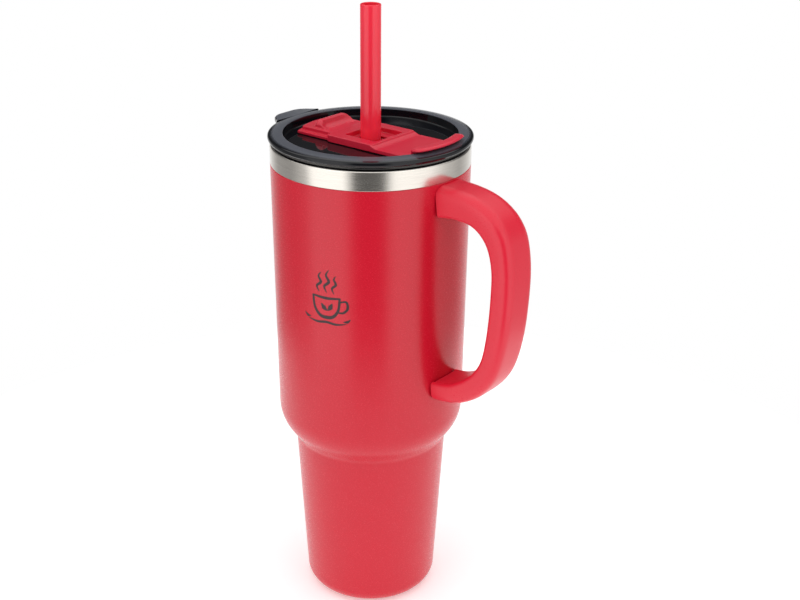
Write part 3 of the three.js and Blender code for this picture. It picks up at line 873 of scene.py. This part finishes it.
def finger_ridge():
    """The ridge a thumb pushes: hollow on the front, its ends thick, round and swept a little forwards."""
    low = REAR_TOP - 0.0006
    sections, steps = [], 48
    for k in range(steps + 1):
        share = 2 * k / steps - 1
        top = LIP_TOP - 0.0022 * beyond(share, 0.70) ** 2.2
        front = RIDGE_X + 0.0016 * beyond(share, 0.62) ** 1.6
        outline = rounded([
            (front + 0.0052, low), (front + 0.0044, low + 0.0008, 0.0006),
            (front + 0.0020, low + 0.0017, 0.0012), (front + 0.0012, top, 0.0011),
            (RIDGE_X - 0.0016, top - 0.0002, 0.0009), (RIDGE_X - 0.0014, low),
        ], 5)
        sections.append([(x, RIDGE_HALF * share, z) for x, z in outline])
    return swept(sections)


def clip(side):
    """A leg through the lid's floor with a hook under it."""
    hook_top = FLOOR_LOW - GAP
    hook_low = hook_top - 0.0012
    stem = prism(bar(-CLIP_X, CLIP_X, side * CLIP_NEAR, side * CLIP_FAR), hook_low, SLIDER_FLOOR + SHEET)
    hook = prism(bar(-CLIP_X, CLIP_X, side * CLIP_NEAR, side * HOOK_FAR), hook_low, hook_top)
    return joined([stem, hook])


def closure():
    """The sliding closure as one moulding, with its edges softened."""
    window = rectangle(WINDOW_BACK, WINDOW_FRONT, WINDOW_SIDE, 0.0015)
    frame_edge = rectangle(-FRAME_X, FRAME_X, FRAME_Y, 0.0022)
    floor_edge = rectangle(WINDOW_BACK - PAST, WINDOW_FRONT + PAST, WINDOW_SIDE + PAST, 0.0015)
    slot = obround(-0.0002, TRAVEL + 0.0002, STRAW_R + 0.0005)
    root, flange_end = FRAME_X - 0.0012, WELL_R - TRAVEL - GAP
    vertices, faces = joined([
        ring_prism(frame_edge, window, SLIDER_FLOOR, FRAME_TOP),
        ring_prism(floor_edge, slot, SLIDER_FLOOR, SLIDER_FLOOR + SHEET),
        prism(rounded_end(WELL_R - 0.0014, FRAME_Y, root, 1), SLIDER_FLOOR, FRONT_TOP),
        prism(rounded_end(flange_end, FLANGE_HALF, root, -1), SLIDER_FLOOR, FLANGE_TOP),
        prism(rounded_end(flange_end - 0.002, REAR_HALF, root, -1), SLIDER_FLOOR, REAR_TOP),
        concave_riser(), flared_lip(), finger_ridge(), clip(1), clip(-1),
    ])
    plate = linked("closure_plate", mesh_from("closure_plate", vertices, faces))
    remesh = plate.modifiers.new("mould", "REMESH")
    remesh.mode = "VOXEL"
    remesh.voxel_size = VOXEL
    smooth = plate.modifiers.new("soften", "SMOOTH")
    smooth.factor = 0.5
    smooth.iterations = SOFTEN
    apply_modifiers(plate)
    seal_pocket = sector(SIP_INNER - 0.0015, SIP_OUTER + 0.0005, SIP_ANGLE + 0.06)
    cut(plate, *prism(seal_pocket, SLIDER_FLOOR - PAST, SLIDER_FLOOR + SEAL_DEPTH))
    plate.data.polygons.foreach_set("use_smooth", [True] * len(plate.data.polygons))
    plate.data.materials.clear()
    plate.data.materials.append(RED_PLASTIC)
    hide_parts("closure_slider")
    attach(plate, "closure")


def straw():
    """A hard tube with rounded ends."""
    inner = STRAW_R - 0.0010
    outline = rounded([
        (inner, STRAW_LOW.z, 0.0004), (STRAW_R, STRAW_LOW.z, 0.0004), (STRAW_R, STRAW_HIGH.z, 0.0006),
        (inner, STRAW_HIGH.z, 0.0004),
    ], 6)
    tube = lathe("straw_tube", outline, STRAW_RED, 96, 50)
    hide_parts("straw")
    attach(tube, "straw")


lid_bowl()
lift_tab()
lid_gasket()
straw_grommet()
closure()
straw()

# ---- Finishes for the CAD pieces that stay as they are ----

KEPT = {
    "outer_bottom": PLAIN_STEEL, "vacuum_seal": PLAIN_STEEL, "getter": PLAIN_STEEL,
    "bracket_upper": PLAIN_STEEL, "bracket_lower": PLAIN_STEEL,
    "screw_upper": PLAIN_STEEL, "screw_lower": PLAIN_STEEL,
    "sip_seal": CLEAR_SILICONE,
}
for name, look in KEPT.items():
    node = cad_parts[name]
    node.data.materials.clear()
    node.data.materials.append(look)

# ---- Studio ----

FLOOR_R = 0.34
# Brightness of the surroundings by azimuth in degrees: two wide windows with a dark gap between them.
# Low down, a white sweep runs round the back; above it the back wall is dark.
LOW_WALLS = (
    (-180, 0.40), (-150, 0.34), (-128, 0.65), (-119, 1.45), (-80, 1.50), (-68, 0.12), (-35, 0.12),
    (-25, 1.45), (18, 1.30), (42, 0.70), (70, 0.45), (110, 1.00), (150, 1.00), (180, 0.40),
)
HIGH_WALLS = (
    (-180, 0.20), (-150, 0.30), (-128, 0.65), (-119, 1.45), (-80, 1.50), (-68, 0.12), (-35, 0.12),
    (-25, 1.45), (18, 1.20), (42, 0.50), (70, 0.10), (100, 0.06), (160, 0.06), (180, 0.20),
)
CEILING = 1.25
# Heights, as the sine of the elevation, over which each zone gives way to the next
LOW_TO_HIGH = (0.06, 0.17)
HIGH_TO_CEILING = (0.50, 0.64)
STRENGTH = 2.0  # a ramp's colours stop at 1, so brightness is stored as a share of this
STRIP_AIM = (0, 0, 0.255)
CAMERA_PLACE = (0.40009, -0.47681, 0.43466)
CAMERA_FORWARD = (-0.5730, 0.7178, -0.3956)
CAMERA_RIGHT = radians(38.6)  # azimuth of the picture's horizontal
CAMERA_ROLL = 0.0091227
LENS_MM, SENSOR_MM = 58.5, 36


def studio_floor():
    """A small pale disc that fades into the white surroundings."""
    look = Nodes("studio_disc", Emission_Color=(1, 1, 1, 1), Emission_Strength=0.30)
    grain = look.noise(60, 2)
    tint = look.blend(look.ramp(grain, 0.0, 1.0), (0.90, 0.90, 0.90), (0.92, 0.92, 0.92))
    look.done(tint, look.ramp(grain, 0.6, 0.7), look.bump(grain, 0.0001, 0.1))
    shape = bmesh.new()
    bmesh.ops.create_circle(shape, cap_ends=True, segments=128, radius=FLOOR_R)
    mesh = bpy.data.meshes.new("studio_floor")
    shape.to_mesh(mesh)
    shape.free()
    floor = make_object("studio_floor", mesh, look.material)
    floor.location.z = -0.0003


def softbox(name, azimuth, elevation, distance, width, height, power, aim):
    """A rectangular area light, placed by angles in degrees from the point it faces."""
    light = bpy.data.lights.new(name, "AREA")
    light.shape = "RECTANGLE"
    light.size, light.size_y, light.energy = width, height, power
    lamp = linked(name, light)
    a, e = radians(azimuth), radians(elevation)
    lamp.location = Vector(aim) + distance * Vector((cos(a) * cos(e), sin(a) * cos(e), sin(e)))
    lamp.rotation_euler = (Vector(aim) - lamp.location).to_track_quat("-Z", "Y").to_euler()


def surroundings():
    """White walls where the camera sees them, and bright and dark ones where they light the object."""
    world = bpy.data.worlds.new("studio")
    world.use_nodes = True
    bpy.context.scene.world = world
    tree = world.node_tree
    tree.nodes.clear()

    def add(kind, **settings):
        node = tree.nodes.new(kind)
        for key, value in settings.items():
            setattr(node, key, value)
        return node

    direction = add("ShaderNodeTexCoord").outputs["Generated"]
    parts = add("ShaderNodeSeparateXYZ")
    tree.links.new(direction, parts.inputs[0])
    azimuth = add("ShaderNodeMath", operation="ARCTAN2")
    tree.links.new(parts.outputs["Y"], azimuth.inputs[0])
    tree.links.new(parts.outputs["X"], azimuth.inputs[1])
    turn = add("ShaderNodeMapRange")
    turn.inputs["From Min"].default_value = -pi
    turn.inputs["From Max"].default_value = pi
    tree.links.new(azimuth.outputs[0], turn.inputs["Value"])

    def grey(level):
        return (level / STRENGTH, level / STRENGTH, level / STRENGTH, 1)

    def walls(levels):
        """A brightness by azimuth."""
        ramp = add("ShaderNodeValToRGB")
        ramp.color_ramp.interpolation = "LINEAR"
        while len(ramp.color_ramp.elements) < len(levels):
            ramp.color_ramp.elements.new(0.5)
        for element, (angle, level) in zip(ramp.color_ramp.elements, levels):
            element.position = (angle + 180) / 360
            element.color = grey(level)
        tree.links.new(turn.outputs["Result"], ramp.inputs["Fac"])
        return ramp.outputs["Color"]

    def above(zone, lower, upper):
        """The lower brightness giving way to the upper one between two heights."""
        start, end = zone
        height = add("ShaderNodeMapRange", interpolation_type="SMOOTHSTEP")
        height.inputs["From Min"].default_value = start
        height.inputs["From Max"].default_value = end
        tree.links.new(parts.outputs["Z"], height.inputs["Value"])
        mixed = add("ShaderNodeMix", data_type="RGBA")
        tree.links.new(height.outputs["Result"], mixed.inputs["Factor"])
        tree.links.new(lower, mixed.inputs["A"])
        if isinstance(upper, float):
            mixed.inputs["B"].default_value = grey(upper)
        else:
            tree.links.new(upper, mixed.inputs["B"])
        return mixed.outputs["Result"]

    sides = above(LOW_TO_HIGH, walls(LOW_WALLS), walls(HIGH_WALLS))
    dome = above(HIGH_TO_CEILING, sides, CEILING)
    lighting = add("ShaderNodeBackground")
    lighting.inputs["Strength"].default_value = STRENGTH
    tree.links.new(dome, lighting.inputs["Color"])
    seen = add("ShaderNodeBackground")
    seen.inputs["Color"].default_value = (1, 1, 1, 1)
    switch = add("ShaderNodeMixShader")
    tree.links.new(add("ShaderNodeLightPath").outputs["Is Camera Ray"], switch.inputs[0])
    tree.links.new(lighting.outputs[0], switch.inputs[1])
    tree.links.new(seen.outputs[0], switch.inputs[2])
    tree.links.new(switch.outputs[0], add("ShaderNodeOutputWorld").inputs["Surface"])


def camera():
    """The photo's viewpoint, from the camera fit."""
    lens = bpy.data.cameras.new("camera")
    lens.lens, lens.sensor_width = LENS_MM, SENSOR_MM
    lens.clip_start, lens.clip_end = 0.01, 50
    view = linked("camera", lens)
    forward = Vector(CAMERA_FORWARD).normalized()
    level = Vector((cos(CAMERA_RIGHT), sin(CAMERA_RIGHT), 0))
    level = (level - forward * level.dot(forward)).normalized()
    up = level.cross(forward)
    right = level * cos(CAMERA_ROLL) + up * sin(CAMERA_ROLL)
    top = up * cos(CAMERA_ROLL) - level * sin(CAMERA_ROLL)
    turned = Matrix((right, top, -forward)).transposed().to_4x4()
    turned.translation = Vector(CAMERA_PLACE)
    view.matrix_world = turned
    bpy.context.scene.camera = view


studio_floor()
surroundings()
softbox("strip_left", -90, 24, 1.3, 0.9, 0.04, 0.45, STRIP_AIM)
softbox("strip_right", -8, 24, 1.3, 0.5, 0.04, 0.20, STRIP_AIM)
camera()
bpy.context.scene.view_settings.view_transform = "Standard"
